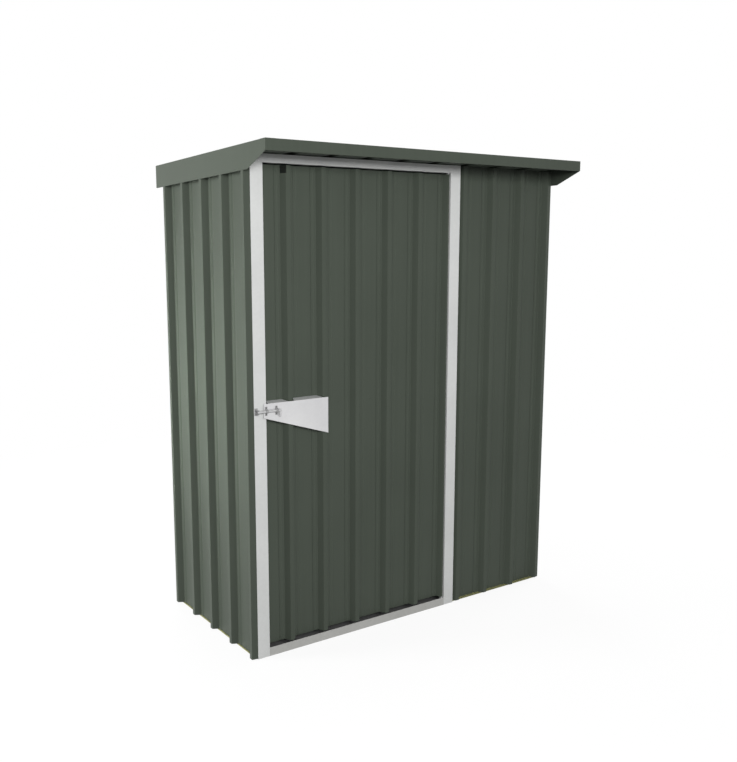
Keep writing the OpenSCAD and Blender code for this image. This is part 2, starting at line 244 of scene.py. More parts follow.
def fold_tree():
    """Rounds the corners of a bare polyline, draws it out along a run and gives it a finish."""
    tree = bpy.data.node_groups.new("Fold and draw out", "GeometryNodeTree")
    sockets(tree, Bend_radius="Float", Bend_steps="Int", Run="Vector", Finish="Material")
    add, calc = wiring(tree)
    given = add("NodeGroupInput").outputs
    line = add("GeometryNodeMeshToCurve", {"Mesh": given["Geometry"]})
    bends = add("GeometryNodeFilletCurve", {
        "Curve": line.outputs[0], "Radius": given["Bend radius"], "Limit Radius": True,
        "Count": given["Bend steps"]}, mode="POLY")
    edge = add("GeometryNodeCurveToMesh", {"Curve": bends.outputs[0]})
    drawn = add("GeometryNodeExtrudeMesh", {"Mesh": edge.outputs[0], "Offset": given["Run"],
                                            "Offset Scale": 1.0}, mode="EDGES")
    smooth = add("GeometryNodeSetShadeSmooth", {"Geometry": drawn.outputs[0], "Shade Smooth": True})
    real = add("GeometryNodeRealizeInstances", {"Geometry": smooth.outputs[0]})
    done = add("GeometryNodeSetMaterial", {
        "Geometry": real.outputs[0], "Material": given["Finish"]})
    add("NodeGroupOutput", {0: done.outputs[0]})
    return tree


def ribbed_tree(fold):
    """Lays out rib after rib, each with a pan and its two swages, from a start to an end."""
    tree = bpy.data.node_groups.new("Ribbed sheet", "GeometryNodeTree")
    sockets(tree, Ribs="Int", First_rib="Float", Pitch="Float", Start="Float", End="Float",
            Crest="Float", Web_run="Float", Rib_depth="Float", Swage_half_spacing="Float",
            Swage_depth="Float", Bend_radius="Float", Length="Float", Finish="Material")
    add, calc = wiring(tree)
    given = add("NodeGroupInput").outputs
    rib_corners, swage_corners, bend_steps = 4, 8, 3
    swage_foot, swage_floor = 8 * MM, 4 * MM
    swage_steps = (-swage_foot, -swage_floor, swage_floor, swage_foot)
    per_rib = rib_corners + swage_corners
    count = calc("SUBTRACT", calc("MULTIPLY", given["Ribs"], per_rib), swage_corners)
    dots = add("GeometryNodeMeshLine", {"Count": count, "Offset": (MM, 0, 0)}, mode="OFFSET")
    index = add("GeometryNodeInputIndex").outputs[0]
    cell = calc("FLOOR", calc("DIVIDE", index, per_rib))
    corner = calc("SUBTRACT", index, calc("MULTIPLY", cell, per_rib))
    half = calc("MULTIPLY", given["Crest"], 0.5)
    foot = calc("ADD", half, given["Web run"])
    middle = calc("MULTIPLY", given["Pitch"], 0.5)
    across = [calc("MULTIPLY", foot, -1), calc("MULTIPLY", half, -1), half, foot]
    depth = [0.0, given["Rib depth"], given["Rib depth"], 0.0]
    for side in (-1, 1):
        centre = calc("ADD", middle, calc("MULTIPLY", given["Swage half spacing"], side))
        across += [calc("ADD", centre, step) for step in swage_steps]
        hollow = calc("MULTIPLY", given["Swage depth"], -1)
        depth += [0.0, hollow, hollow, 0.0]

    def pick(values):
        switch = add("GeometryNodeIndexSwitch", {"Index": corner}, data_type="FLOAT")
        while len(switch.index_switch_items) < len(values):
            switch.index_switch_items.new()
        for i, value in enumerate(values):
            if isinstance(value, float):
                switch.inputs[i + 1].default_value = value
            else:
                tree.links.new(value, switch.inputs[i + 1])
        return switch.outputs[0]

    rib_place = calc("ADD", given["First rib"], calc("MULTIPLY", cell, given["Pitch"]))
    x = calc("ADD", rib_place, pick(across))
    y = pick(depth)
    outside = calc("LESS_THAN", x, given["Start"])
    kept = calc("GREATER_THAN", x, calc("SUBTRACT", given["Start"], given["Crest"]))
    folded = calc("MULTIPLY", calc("MAXIMUM", y, 0.0), kept)
    y = calc("ADD", y, calc("MULTIPLY", outside, calc("SUBTRACT", folded, y)))
    x = calc("MAXIMUM", given["Start"], calc("MINIMUM", x, given["End"]))
    place = add("ShaderNodeCombineXYZ", {0: x, 1: y})
    laid = add("GeometryNodeSetPosition", {
        "Geometry": dots.outputs[0], "Position": place.outputs[0]})
    merged = add("GeometryNodeMergeByDistance", {"Geometry": laid.outputs[0], "Distance": 0.1 * MM})
    run = add("ShaderNodeCombineXYZ", {2: given["Length"]})
    drawn = add("GeometryNodeGroup", node_tree=fold)
    for key, value in (("Geometry", merged.outputs[0]), ("Bend radius", given["Bend radius"]),
                       ("Run", run.outputs[0]), ("Finish", given["Finish"])):
        tree.links.new(value, drawn.inputs[key])
    drawn.inputs["Bend steps"].default_value = bend_steps
    real = add("GeometryNodeRealizeInstances", {"Geometry": drawn.outputs[0]})
    done = add("GeometryNodeSetMaterial", {
        "Geometry": real.outputs[0], "Material": given["Finish"]})
    add("NodeGroupOutput", {0: done.outputs[0]})
    return tree


def grown(name, mesh, tree, **sizes):
    """Runs a node tree on a mesh and returns the result as a plain object."""
    piece = bpy.data.objects.new(name, mesh)
    scene.collection.objects.link(piece)
    growth = piece.modifiers.new("growth", "NODES")
    growth.node_group = tree
    for item in tree.interface.items_tree:
        key = item.name.replace(" ", "_")
        if item.in_out == "INPUT" and key in sizes:
            growth[item.identifier] = sizes[key]
    depsgraph = bpy.context.evaluated_depsgraph_get()
    plain = bpy.data.meshes.new_from_object(piece.evaluated_get(depsgraph))
    piece.modifiers.remove(growth)
    piece.data = plain
    return piece


def shaped(piece, place, outward, cuts=(), thickness=sheet_t):
    """Puts a drawn sheet in its place, faces it outwards, cuts it and gives it its thickness."""
    bm = bmesh.new()
    bm.from_mesh(piece.data)
    bmesh.ops.transform(bm, matrix=place, verts=bm.verts)
    for point, normal in cuts:
        bmesh.ops.bisect_plane(bm, geom=bm.verts[:] + bm.edges[:] + bm.faces[:], dist=SAME_PLACE,
                               plane_co=point, plane_no=normal, clear_outer=True)
    bmesh.ops.remove_doubles(bm, verts=bm.verts, dist=SAME_PLACE)
    bm.normal_update()
    if sum(face.normal.dot(outward) * face.calc_area() for face in bm.faces) < 0:
        bmesh.ops.reverse_faces(bm, faces=bm.faces)
    bm.to_mesh(piece.data)
    bm.free()
    wall = piece.modifiers.new("sheet thickness", "SOLIDIFY")
    wall.thickness, wall.offset, wall.use_even_offset = thickness, -1, True
    piece.modifiers.new("clean shading", "WEIGHTED_NORMAL").keep_sharp = False


def paint_look():
    """Satin baked paint: even grey-green with faint mottling, dust streaks and slow ripples."""
    look = bpy.data.materials.new("olive baked paint")
    look.use_nodes = True
    add, calc = wiring(look.node_tree)
    shader = look.node_tree.nodes["Principled BSDF"]
    shader.inputs["Specular IOR Level"].default_value = 0.14
    spot = add("ShaderNodeTexCoord").outputs["Object"]
    slow = add("ShaderNodeTexNoise", {
        "Vector": spot, "Scale": 2.3, "Detail": 4.0, "Roughness": 0.55})
    tall = add("ShaderNodeMapping", {"Vector": spot, "Scale": (60.0, 60.0, 1.4)})
    streak = add("ShaderNodeTexNoise", {"Vector": tall.outputs[0], "Scale": 1.0, "Detail": 3.0})
    blend = calc("ADD", calc("MULTIPLY", slow.outputs[0], 0.65),
                 calc("MULTIPLY", streak.outputs[0], 0.35))
    tint = add("ShaderNodeValToRGB", {0: blend})
    tint.color_ramp.elements[0].position, tint.color_ramp.elements[1].position = 0.34, 0.66
    tint.color_ramp.elements[0].color = (0.0630, 0.0750, 0.0595, 1)
    tint.color_ramp.elements[1].color = (0.0730, 0.0865, 0.0690, 1)
    look.node_tree.links.new(tint.outputs[0], shader.inputs["Base Color"])
    grain = add("ShaderNodeTexNoise", {"Vector": spot, "Scale": 420.0, "Detail": 2.0})
    uneven = calc("ADD", calc("MULTIPLY", blend, 0.7), calc("MULTIPLY", grain.outputs[0], 0.3))
    dull = add("ShaderNodeMapRange", {0: uneven, 1: 0.35, 2: 0.65, 3: 0.38, 4: 0.47})
    look.node_tree.links.new(dull.outputs[0], shader.inputs["Roughness"])
    sway = add("ShaderNodeMapping", {"Vector": spot, "Scale": (5.0, 5.0, 1.6)})
    ripple = add("ShaderNodeTexNoise", {"Vector": sway.outputs[0], "Scale": 1.0, "Detail": 1.0})
    wave = add("ShaderNodeBump", {
        "Height": ripple.outputs[0], "Strength": 0.35, "Distance": 1.2 * MM})
    skin = add("ShaderNodeBump", {
        "Height": grain.outputs[0], "Strength": 0.12, "Distance": 0.06 * MM,
        "Normal": wave.outputs[0]})
    look.node_tree.links.new(skin.outputs[0], shader.inputs["Normal"])
    return look


fold = fold_tree()
ribbed = ribbed_tree(fold)
paint = paint_look()
wall_foot = 3 * MM
roof_cut = ((0, front_edge, roof_eave), (0, math.sin(pitch_angle), math.cos(pitch_angle)))


def ribbed_sheet(name, node, place, outward, ribs, first, pitch, width, length, cuts=()):
    """One ribbed sheet in place of its CAD node; its ribs are set out from its left edge."""
    piece = grown(name, bpy.data.meshes.new(name), ribbed, Ribs=ribs, First_rib=first,
                  Pitch=pitch, Start=0.0, End=width, Crest=crest, Web_run=web_run,
                  Rib_depth=rib_depth, Swage_half_spacing=swage_half_spacing,
                  Swage_depth=swage_depth, Bend_radius=sheet_bend, Length=length, Finish=paint)
    shaped(piece, place, Vector(outward), cuts)
    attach(piece, frame["nodes"][node]["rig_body"])
    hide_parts(node)


def fastener_tree():
    """Sets one small headed fastener on every point, standing along its own direction."""
    tree = bpy.data.node_groups.new("Fasteners", "GeometryNodeTree")
    sockets(tree, Head_sides="Int", Head_radius="Float", Top_radius="Float", Head_height="Float",
            Washer_radius="Float", Washer_height="Float", Finish="Material")
    add, calc = wiring(tree)
    given = add("NodeGroupInput").outputs
    washer_sides, washer_taper = 14, 0.86
    washer = add("GeometryNodeMeshCone", {
        "Vertices": washer_sides, "Radius Bottom": given["Washer radius"],
        "Depth": given["Washer height"],
        "Radius Top": calc("MULTIPLY", given["Washer radius"], washer_taper)})
    head = add("GeometryNodeMeshCone", {
        "Vertices": given["Head sides"], "Radius Bottom": given["Head radius"],
        "Radius Top": given["Top radius"], "Depth": given["Head height"]})
    rise = add("ShaderNodeCombineXYZ", {2: given["Washer height"]})
    lifted = add("GeometryNodeTransform", {
        "Geometry": head.outputs[0], "Translation": rise.outputs[0]})
    both = add("GeometryNodeJoinGeometry")
    tree.links.new(washer.outputs[0], both.inputs[0])
    tree.links.new(lifted.outputs[0], both.inputs[0])
    facing = add("GeometryNodeInputNamedAttribute", {"Name": "facing"}, data_type="FLOAT_VECTOR")
    turn = add("FunctionNodeAlignRotationToVector", {"Vector": facing.outputs[0]}, axis="Z")
    placed = add("GeometryNodeInstanceOnPoints", {
        "Points": given["Geometry"], "Instance": both.outputs[0], "Rotation": turn.outputs[0]})
    real = add("GeometryNodeRealizeInstances", {"Geometry": placed.outputs[0]})
    done = add("GeometryNodeSetMaterial", {
        "Geometry": real.outputs[0], "Material": given["Finish"]})
    add("NodeGroupOutput", {0: done.outputs[0]})
    return tree


fasteners = fastener_tree()
POP_RIVET = dict(Head_sides=12, Head_radius=3.0 * MM, Top_radius=1.7 * MM, Head_height=0.5 * MM,
                 Washer_radius=3.4 * MM, Washer_height=0.25 * MM)


def fixed(name, body, points, finish, sizes):
    """Fasteners of one kind on one body; points is a list of (place, direction)."""
    mesh = bpy.data.meshes.new(name)
    mesh.from_pydata([place for place, facing in points], [], [])
    facing = mesh.attributes.new("facing", "FLOAT_VECTOR", "POINT")
    for item, (place, direction) in zip(facing.data, points):
        item.vector = direction
    piece = grown(name, mesh, fasteners, Finish=finish, **sizes)
    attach(piece, body)


def turned(across, out, up, origin):
    """Placement that lays a sheet's width, ribs and length along three directions."""
    grid = Matrix((across, out, up)).transposed().to_4x4()
    grid.translation = origin
    return grid


left_low, left_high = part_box("left_wall")
right_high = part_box("right_wall")[1]
left_pan, right_pan = left_low.x + rib_depth, right_high.x - rib_depth
back_low, back_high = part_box("back_wall")
panel_low, panel_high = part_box("front_panel")
# The walls are drawn too long and cut off under the slope of the roof.
spare = 20 * MM
wall_height = left_high.z - wall_foot + spare
side_depth = left_high.y - left_low.y
corner = 4 * MM
side_first = corner + crest / 2
side_ribs = round((side_depth - 2 * side_first) / side_pitch) + 1
side_step = (side_depth - 2 * side_first) / (side_ribs - 1)
left_place = turned((0, 1, 0), (-1, 0, 0), (0, 0, 1), (left_pan, left_low.y, wall_foot))
ribbed_sheet("left_wall_sheet", "left_wall", left_place, (-1, 0, 0), side_ribs, side_first,
             side_step, side_depth, wall_height, [roof_cut])
right_place = turned((0, -1, 0), (1, 0, 0), (0, 0, 1), (right_pan, right_high.y, wall_foot))
ribbed_sheet("right_wall_sheet", "right_wall", right_place, (1, 0, 0), side_ribs, side_first,
             side_step, side_depth, wall_height, [roof_cut])

back_width = back_high.x - back_low.x
back_ribs = round(back_width / main_pitch)
back_step = (back_width + crest - 2 * corner) / back_ribs
back_first = corner - crest / 2
back_pan = back_high.y - rib_depth
back_place = turned((1, 0, 0), (0, 1, 0), (0, 0, 1), (back_low.x, back_pan, wall_foot))
ribbed_sheet("back_wall_sheet", "back_wall", back_place, (0, 1, 0), back_ribs + 1, back_first,
             back_step, back_width, wall_height, [roof_cut])

panel_width = panel_high.x - panel_low.x
panel_pitches, panel_first = 3, 26.5 * MM
panel_step = (panel_width - crest) / panel_pitches
panel_pan = panel_low.y + rib_depth
panel_place = turned((1, 0, 0), (0, -1, 0), (0, 0, 1), (panel_low.x, panel_pan, wall_foot))
ribbed_sheet("front_panel_sheet", "front_panel", panel_place, (0, -1, 0), panel_pitches + 2,
             panel_first - panel_step, panel_step, panel_width, wall_height, [roof_cut])

rail_heights, top_rivet_drop = (15.5 * MM, 912.5 * MM), 14 * MM


def rivet_column(x, y, facing):
    """Rivets up the middle of one pan, one at each rail."""
    return [((x, y, z), facing) for z in rail_heights + (roof_under(y) - top_rivet_drop,)]


rivets = []
for x, out in ((left_pan, -1), (right_pan, 1)):
    for i in range(side_ribs - 1):
        rivets += rivet_column(x, left_low.y + side_first + (i + 0.5) * side_step, (out, 0, 0))
for i in range(back_ribs):
    rivets += rivet_column(back_low.x + back_first + (i + 0.5) * back_step, back_pan, (0, 1, 0))
for i in range(panel_pitches):
    x = panel_low.x + panel_first + (i + 0.5) * panel_step
    rivets += rivet_column(x, panel_pan, (0, -1, 0))
fixed("wall_rivets", "shed", rivets, paint, POP_RIVET)

# ---------------------------------------------------------------------------------------------
# Door skin: one sheet of the same ribbed steel, its last rib folded back at the hinge edge.
# It is riveted in the pans to a light tube frame. A thin black piece over its top edge beside the
# first rib is painted shade: it stands in for the dark shade at that spot.
door_low, door_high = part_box("door_sheet")
door_width = door_high.x - door_low.x
door_first, door_pitches, past_edge = 98 * MM, 5, 3 * MM
door_step = (door_width - door_first + past_edge) / door_pitches
door_pan = door_low.y + rib_depth
door_place = turned((1, 0, 0), (0, -1, 0), (0, 0, 1), (door_low.x, door_pan, door_low.z))
ribbed_sheet("door_skin", "door_sheet", door_place, (0, -1, 0), door_pitches + 2,
             door_first - door_step, door_step, door_width, door_high.z - door_low.z)

rivets = []
rail_boxes = [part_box(node) for node in ("door_bottom_rail", "door_middle_rail", "door_top_rail")]
for low, high in rail_boxes:
    z = (low.z + high.z) / 2
    rivets += [((door_low.x + door_first + (i + 0.5) * door_step, door_pan, z), (0, -1, 0))
               for i in range(door_pitches)]
stile_low, stile_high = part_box("latch_stile")
stile_middle = (stile_low.x + stile_high.x) / 2
stile_rivets = (70, 420, 780, 1140, 1480, 1760)
rivets += [((stile_middle, door_pan, z * MM), (0, -1, 0)) for z in stile_rivets]
fixed("door_rivets", "door", rivets, paint, POP_RIVET)

# Sizes of the thin black piece of painted shade at the door top.
shade_clip_height, shade_clip_proud, shade_clip_t, shade_clip_drop = 27 * MM, 2.2 * MM, 1.4 * MM, 0.5 * MM


def painted_shade_look():
    """Matt near-black finish with fine pores, for the piece of painted shade at the door top."""
    look = bpy.data.materials.new("black painted shade")
    look.use_nodes = True
    add, calc = wiring(look.node_tree)
    shader = look.node_tree.nodes["Principled BSDF"]
    shader.inputs["Roughness"].default_value = 0.85
    shader.inputs["Specular IOR Level"].default_value = 0.25
    spot = add("ShaderNodeTexCoord").outputs["Object"]
    pores = add("ShaderNodeTexNoise", {"Vector": spot, "Scale": 700.0, "Detail": 3.0})
    tint = add("ShaderNodeValToRGB", {0: pores.outputs[0]})
    tint.color_ramp.elements[0].color = (0.011, 0.013, 0.011, 1)
    tint.color_ramp.elements[1].color = (0.018, 0.020, 0.017, 1)
    look.node_tree.links.new(tint.outputs[0], shader.inputs["Base Color"])
    skin = add("ShaderNodeBump", {
        "Height": pores.outputs[0], "Strength": 0.3, "Distance": 0.1 * MM})
    look.node_tree.links.new(skin.outputs[0], shader.inputs["Normal"])
    return look


rib_foot = door_low.x + door_first - crest / 2 - web_run
shade_clip_start, above_pan, below_crest = 1 * MM, 0.8 * MM, 1.0 * MM
shade_clip_line = [(rib_foot + shade_clip_start, above_pan), (rib_foot + web_run, rib_depth - below_crest)]
outline = [Vector((x, door_pan - out - shade_clip_proud, 0)) for x, out in shade_clip_line]
mesh = bpy.data.meshes.new("door_buffer")
mesh.from_pydata(outline, [(0, 1)], [])
painted_shade_clip = grown("door_buffer", mesh, fold, Bend_radius=2 * MM, Bend_steps=4,
                      Run=(0, 0, shade_clip_height), Finish=painted_shade_look())
shade_clip_place = Matrix.Translation((0, 0, door_high.z - shade_clip_height - shade_clip_drop))
shaped(painted_shade_clip, shade_clip_place, Vector((0, -1, 0)), thickness=shade_clip_t)
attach(painted_shade_clip, "door")

# ---------------------------------------------------------------------------------------------
# Roof sheet: the same ribbed steel laid down the fall, crests up, fixed through the crests
# with painted hexagon screws on washers along the front rail, the purlin and the rear rail.
roof_low, roof_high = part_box("roof_sheet")
roof_width = roof_high.x - roof_low.x
beside_rib = 1 * MM
edge_rib = crest / 2 + web_run + beside_rib
roof_ribs = round((roof_width - 2 * edge_rib) / main_pitch) + 1
roof_step = (roof_width - 2 * edge_rib) / (roof_ribs - 1)
seat = 2.6 * MM
down_fall = Vector((0, math.cos(pitch_angle), -math.sin(pitch_angle)))
roof_up = Vector((0, math.sin(pitch_angle), math.cos(pitch_angle)))


def on_roof(x, along, up):
    """A point at a distance down the fall and a height above the rails."""
    return Vector((x, front_edge, roof_eave)) + down_fall * along + roof_up * up


roof_start, roof_end_gap = 1.8 * MM, 4 * MM
roof_length = (cad_high.y - cad_low.y) / math.cos(pitch_angle)
roof_place = turned((1, 0, 0), roof_up, down_fall, on_roof(roof_low.x, roof_start, seat))
ribbed_sheet("roof_ribbed_sheet", "roof_sheet", roof_place, (0, 0, 1), roof_ribs, edge_rib,
             roof_step, roof_width, roof_length - roof_end_gap - roof_start)
HEX_SCREW = dict(Head_sides=6, Head_radius=4.4 * MM, Top_radius=4.2 * MM, Head_height=3.6 * MM,
                 Washer_radius=7 * MM, Washer_height=1.2 * MM)
screw_rows = (190 * MM, 504 * MM, 815 * MM)
screws = [(on_roof(roof_low.x + edge_rib + i * roof_step, along, seat + rib_depth), roof_up)
          for along in screw_rows for i in range(roof_ribs)]
fixed("roof_screws", "shed", screws, paint, HEX_SCREW)

# ---------------------------------------------------------------------------------------------
# Cappings: a fascia across the front and a barge down each side, folded from the same painted
# steel with hemmed edges. Their flanges lie on the roof ribs and are riveted to them. The
# barges are cut back on a slope at the front.
capping_t, fascia_drop, barge_drop, flange = 0.8 * MM, 40 * MM, 88 * MM, 38 * MM
hem, lip, lip_rise, barge_lip, barge_lip_rise = 2.5 * MM, 9.5 * MM, 5 * MM, 7 * MM, 3.5 * MM
top_of_ribs = seat + rib_depth + capping_t


def folded_capping(name, node, line, run, outward, cuts):
    """One capping in place of its CAD node, folded along a line and drawn out along a run."""
    mesh = bpy.data.meshes.new(name)
    mesh.from_pydata(line, [(i, i + 1) for i in range(len(line) - 1)], [])
    piece = grown(name, mesh, fold, Bend_radius=1.4 * MM, Bend_steps=4, Run=run, Finish=paint)
    shaped(piece, Matrix.Identity(4), Vector(outward), cuts, capping_t)
    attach(piece, "shed")
    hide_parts(node)


left, right, top = cad_low.x, cad_high.x, cad_high.z
low = top - fascia_drop
fascia_flange = on_roof(left, flange, top_of_ribs)
fascia_line = [(left, front_edge + lip, low + lip_rise), (left, front_edge + lip, low),
               (left, front_edge, low), (left, front_edge, top),
               tuple(fascia_flange), tuple(fascia_flange - roof_up * hem)]
folded_capping("fascia_capping", "front_fascia", fascia_line, (right - left, 0, 0),
               (0, -1, 0.3), [])

# The barges are drawn a little too long and cut square behind, and on the slope in front.
barge_front = front_edge + capping_t
cut_foot, cut_rise, overrun = front_edge + 122 * MM, 2 * MM, 5 * MM


def capping_top(y):
    """Height of the barge's top fold, which falls with the roof."""
    return top - (y - front_edge) * math.tan(pitch_angle)


cut_low = Vector((0, barge_front, low))
cut_end = Vector((0, cut_foot, capping_top(cut_foot) - barge_drop + cut_rise))
along_cut = cut_end - cut_low
cut_normal = Vector((0, along_cut.z, -along_cut.y)).normalized()
square_cuts = [((0, barge_front, 0), (0, -1, 0)), ((0, cad_high.y, 0), (0, 1, 0))]
for side, node in ((-1, "left_barge"), (1, "right_barge")):
    face = side * right

    def hang(inset, drop):
        """Corner of the section at the front edge, inset from its face and below its top."""
        y = front_edge - overrun
        return (face - side * inset, y, capping_top(y) - drop)

    line = [hang(barge_lip, barge_drop - barge_lip_rise), hang(barge_lip, barge_drop),
            hang(0, barge_drop), hang(0, 0), hang(flange, 0), hang(flange, hem)]
    folded_capping(node + "_capping", node, line, down_fall * (roof_length + 2 * overrun),
                   (side, 0, 0.5), square_cuts + [(cut_low, cut_normal)])

fascia_rivet_inset, barge_rivet_inset = 28 * MM, 24 * MM
barge_rivets = (80, 270, 460, 650, 840)
rivets = [(on_roof(roof_low.x + edge_rib + i * roof_step, fascia_rivet_inset, top_of_ribs), roof_up)
          for i in range(1, roof_ribs - 1, 2)]
for side in (-1, 1):
    rivets += [(on_roof(side * (right - barge_rivet_inset), along * MM, top_of_ribs), roof_up)
               for along in barge_rivets]
fixed("capping_rivets", "shed", rivets, paint,
      dict(POP_RIVET, Head_height=0.35 * MM))

# ---------------------------------------------------------------------------------------------
# Door frame: two rolled jambs and a header of square-edged steel section, and an angle for a
# sill, all matt zinc-coated and left unpainted. The corners are held with zinc rivets.


def zinc_look(name, dark, pale, spangle, roughness, metal):
    """Zinc coating: pale grey, cloudy, with a faint crystal spangle and fine drawing lines."""
    look = bpy.data.materials.new(name)
    look.use_nodes = True
    add, calc = wiring(look.node_tree)
    shader = look.node_tree.nodes["Principled BSDF"]
    shader.inputs["Metallic"].default_value = metal
    spot = add("ShaderNodeTexCoord").outputs["Object"]
    cloud = add("ShaderNodeTexNoise", {"Vector": spot, "Scale": 5.0, "Detail": 4.0})
    crystal = add("ShaderNodeTexVoronoi", {"Vector": spot, "Scale": 110.0})
    cell = add("ShaderNodeSeparateColor", {0: crystal.outputs["Color"]}).outputs[0]
    blend = calc("ADD", calc("MULTIPLY", cloud.outputs[0], 1 - spangle),
                 calc("MULTIPLY", cell, spangle))
    tint = add("ShaderNodeValToRGB", {0: blend})
    tint.color_ramp.elements[0].position, tint.color_ramp.elements[1].position = 0.25, 0.75
    tint.color_ramp.elements[0].color = (*dark, 1)
    tint.color_ramp.elements[1].color = (*pale, 1)
    look.node_tree.links.new(tint.outputs[0], shader.inputs["Base Color"])
    dull = add("ShaderNodeMapRange", {0: blend, 1: 0.2, 2: 0.8, 3: roughness - 0.06,
                                      4: roughness + 0.06})
    look.node_tree.links.new(dull.outputs[0], shader.inputs["Roughness"])
    drawn = add("ShaderNodeMapping", {"Vector": spot, "Scale": (900.0, 900.0, 12.0)})
    lines = add("ShaderNodeTexNoise", {"Vector": drawn.outputs[0], "Scale": 1.0, "Detail": 1.0})
    skin = add("ShaderNodeBump", {
        "Height": lines.outputs[0], "Strength": 0.1, "Distance": 0.05 * MM})
    look.node_tree.links.new(skin.outputs[0], shader.inputs["Normal"])
    return look


def finished(node, name, bevel, look, steps=2):
    """The CAD piece itself with its sharp edges rounded and its own finish."""
    bm = bmesh.new()
    bm.from_mesh(frame["nodes"][node].data)
    bmesh.ops.remove_doubles(bm, verts=bm.verts, dist=SAME_PLACE)
    bmesh.ops.dissolve_limit(bm, angle_limit=math.radians(0.5), verts=bm.verts, edges=bm.edges)
    for face in bm.faces:
        face.smooth = True
        face.material_index = 0
    mesh = bpy.data.meshes.new(name)
    bm.to_mesh(mesh)
    bm.free()
    mesh.materials.append(look)
    piece = bpy.data.objects.new(name, mesh)
    scene.collection.objects.link(piece)
    rounded = piece.modifiers.new("rounded edges", "BEVEL")
    rounded.width, rounded.segments, rounded.limit_method = bevel, steps, "ANGLE"
    rounded.angle_limit = math.radians(40)
    rounded.use_clamp_overlap = True
    piece.modifiers.new("clean shading", "WEIGHTED_NORMAL").keep_sharp = False
    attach(piece, frame["nodes"][node]["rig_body"])
    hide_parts(node)


frame_zinc = zinc_look("matt zinc", (0.62, 0.63, 0.62), (0.71, 0.72, 0.71), 0.12, 0.55, 0.0)
finished("left_jamb", "left_jamb_section", 1.2 * MM, frame_zinc, 3)
finished("right_jamb", "right_jamb_section", 1.2 * MM, frame_zinc, 3)
finished("header", "header_section", 0.7 * MM, frame_zinc)
# The sill takes a darker zinc than the jambs: painted shade for the lower light at its foot by the
# floor.
sill_zinc_painted_shade = zinc_look("sill zinc darkened for painted shade", (0.43, 0.43, 0.41), (0.52, 0.52, 0.50), 0.15, 0.55, 0.0)
finished("sill", "sill_angle", 0.7 * MM, sill_zinc_painted_shade)

frame_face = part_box("left_jamb")[0].y
head_low, head_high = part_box("header")
sill_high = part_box("sill")[1]
corners = []
rivet_inset, above_head, below_sill = 15 * MM, 8 * MM, 12 * MM
for x in (head_low.x - rivet_inset, head_high.x + rivet_inset):
    corners += [((x, frame_face, z), (0, -1, 0))
                for z in (head_low.z + above_head, sill_high.z - below_sill)]
fixed("frame_rivets", "shed", corners, frame_zinc, POP_RIVET)

# ---------------------------------------------------------------------------------------------
# Wall frame: bottom, middle and top rails, three corner posts and the roof purlin, all light
# square tube with a spangled galvanised coat, screwed together end to side.
galvanised = zinc_look("spangled galvanising", (0.40, 0.41, 0.42), (0.60, 0.61, 0.62),
                       0.6, 0.42, 0.7)
for node in ("bottom_rails", "middle_rails", "top_rails", "corner_posts", "roof_purlin"):
    finished(node, node + "_tube", 1.0 * MM, galvanised)

# ---------------------------------------------------------------------------------------------
# Door frame behind the skin: two stiles and three rails of smaller square tube, with a bright
# pivot rod inside the hinge edge held by three short straps and turning in sill and header.
for node in ("hinge_stile", "latch_stile", "door_top_rail", "door_middle_rail", "door_bottom_rail"):
    finished(node, node + "_tube", 0.8 * MM, galvanised)
bright_zinc = zinc_look("bright zinc plate", (0.63, 0.63, 0.64), (0.75, 0.75, 0.75),
                        0.08, 0.36, 0.35)
finished("pivot_straps", "pivot_strap_blocks", 0.5 * MM, galvanised)
pivot_rod = frame["nodes"]["pivot_rod"].data
pivot_rod.materials.clear()
pivot_rod.materials.append(bright_zinc)

# ---------------------------------------------------------------------------------------------
# Sole strips: thin sawn strips of treated pine under the walls, green-yellow from the
# treatment, that keep the sheet edges off the ground.


def pine_look():
    """Sawn pine with its grain along the strip, green-yellow from the treatment."""
    look = bpy.data.materials.new("treated pine")
    look.use_nodes = True
    add, calc = wiring(look.node_tree)
    shader = look.node_tree.nodes["Principled BSDF"]
    shader.inputs["Roughness"].default_value = 0.8
    spot = add("ShaderNodeTexCoord").outputs["Object"]
    along = add("ShaderNodeMapping", {"Vector": spot, "Scale": (6.0, 6.0, 60.0)})
    figure = add("ShaderNodeTexWave", {"Vector": along.outputs[0], "Scale": 3.0,
                                       "Distortion": 9.0, "Detail": 3.0})
    tint = add("ShaderNodeValToRGB", {0: figure.outputs["Fac"]})
    tint.color_ramp.elements[0].color = (0.17, 0.18, 0.075, 1)
    tint.color_ramp.elements[1].color = (0.36, 0.35, 0.17, 1)
    look.node_tree.links.new(tint.outputs[0], shader.inputs["Base Color"])
    skin = add("ShaderNodeBump", {"Height": figure.outputs["Fac"], "Strength": 0.4,
                                  "Distance": 0.2 * MM})
    look.node_tree.links.new(skin.outputs[0], shader.inputs["Normal"])
    return look


finished("sole_strips", "pine_sole_strips", 0.5 * MM, pine_look())

# ---------------------------------------------------------------------------------------------
# Latch plate: a tapered zinc-plated plate carried in front of the door ribs. Two flanges at
# its top edge fold back between the ribs to the pans. The bolt's guides are riveted to it.
plate_low, plate_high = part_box("latch_plate")
plate_t = 2 * MM
plate_left, plate_right = plate_low.x, plate_high.x
plate_face, pan_face = plate_low.y, plate_high.y
flange_rise = 5 * MM
plate_top = plate_high.z - flange_rise
narrow, wide = 52 * MM, plate_top - plate_low.z
crest_face = door_low.y
rib_side = rib_foot + web_run + crest
second_foot = rib_foot + door_step
beside_web, beside_edge, beside_crest = 2 * MM, 2 * MM, 4 * MM
over_web, over_web_at_crests = 8 * MM, 6 * MM
off_rib, off_rib_at_crests = 1 * MM, 3 * MM
flange_left = door_low.x + beside_edge
second_crest = second_foot + web_run
